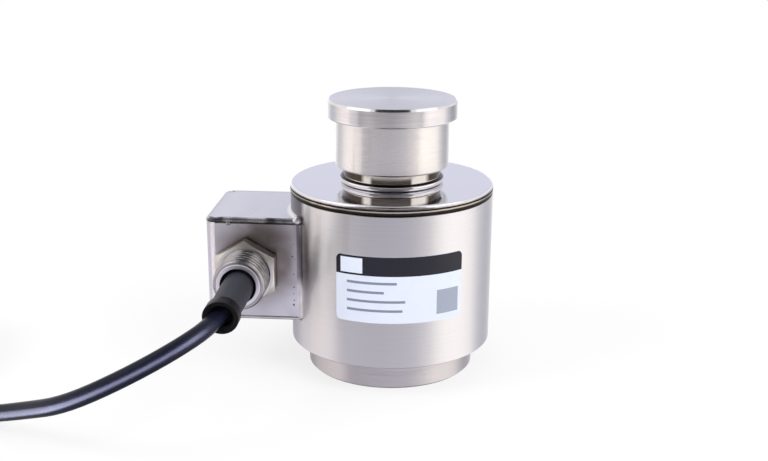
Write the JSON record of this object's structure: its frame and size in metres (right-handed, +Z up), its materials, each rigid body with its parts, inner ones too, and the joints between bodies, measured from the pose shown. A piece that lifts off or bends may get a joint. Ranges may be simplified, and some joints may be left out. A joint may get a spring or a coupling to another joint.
{
  "type": "column load cell",
  "caption": "Compression column load cell: turned steel column in a welded round housing, with a flanged load cap, a folded side box and a gland for its coiled cable.",
  "frame": {"origin": "centre of the base face that the cell stands on", "axes": "+Z up along the column to the load face, -X out to the side box, -Y along the gland"},
  "size_m": [0.3055, 0.144, 0.1078],
  "materials": {
    "turned_stainless": "fine turned",
    "tube_stainless": "brushed round",
    "polished_stainless": "polished",
    "weld_stainless": "dressed weld",
    "sheet_stainless": "satin sheet",
    "nickel_brass": "nickel plated",
    "black_rubber": "matte moulded",
    "fibre_washer": "plain",
    "label_vinyl": "semi-gloss film",
    "gauge_foil": "polyimide film",
    "wire_insulation": "plain",
    "board_laminate": "solder mask",
    "board_brass": "turned",
    "zinc_steel": "zinc plated",
    "resistor_ceramic": "lacquered",
    "black_pvc": "glossy jacket",
    "tie_nylon": "moulded",
    "shrink_sleeve": "shrunk",
    "core_red": "extruded",
    "core_black": "extruded",
    "core_green": "extruded",
    "core_white": "extruded",
    "tinned_copper": "tinned strands"
  },
  "bodies": {
    "root": {"spring_element": "turned_stainless", "load_cap": "turned_stainless", "housing_tube": "tube_stainless", "top_lid": "polished_stainless", "neck_weld": "polished_stainless", "lid_weld": "weld_stainless", "box_top_weld": "weld_stainless", "box_bottom_weld": "weld_stainless", "box_tube_weld": "weld_stainless", "box_wall": "sheet_stainless", "box_top_plate": "sheet_stainless", "box_bottom_plate": "sheet_stainless", "gland_sleeve": "nickel_brass", "gland_hex_nut": "nickel_brass", "gland_lock_nut": "nickel_brass", "gland_clamp_ring": "nickel_brass", "cable_boot": "black_rubber", "gland_seal": "black_rubber", "cap_oring": "black_rubber", "gland_washer": "fibre_washer", "name_label": "label_vinyl", "strain_gauge_front": "gauge_foil", "strain_gauge_rear": "gauge_foil", "strain_gauge_left": "gauge_foil", "strain_gauge_right": "gauge_foil", "bridge_ring_wire": "wire_insulation", "bridge_loom": "wire_insulation", "entry_cores": "wire_insulation", "bridge_board": "board_laminate", "board_standoffs": "board_brass", "board_screws": "zinc_steel", "trim_resistors": "resistor_ceramic", "cable_entry": "black_pvc", "cable_lead": "black_pvc", "cable_coil": "black_pvc", "cable_tail": "black_pvc", "coil_ties": "tie_nylon", "lead_sleeve": "shrink_sleeve", "lead_red": "core_red", "lead_black": "core_black", "lead_green": "core_green", "lead_white": "core_white", "lead_shield": "tinned_copper", "lead_tips": "tinned_copper"}
  },
  "joints": []
}
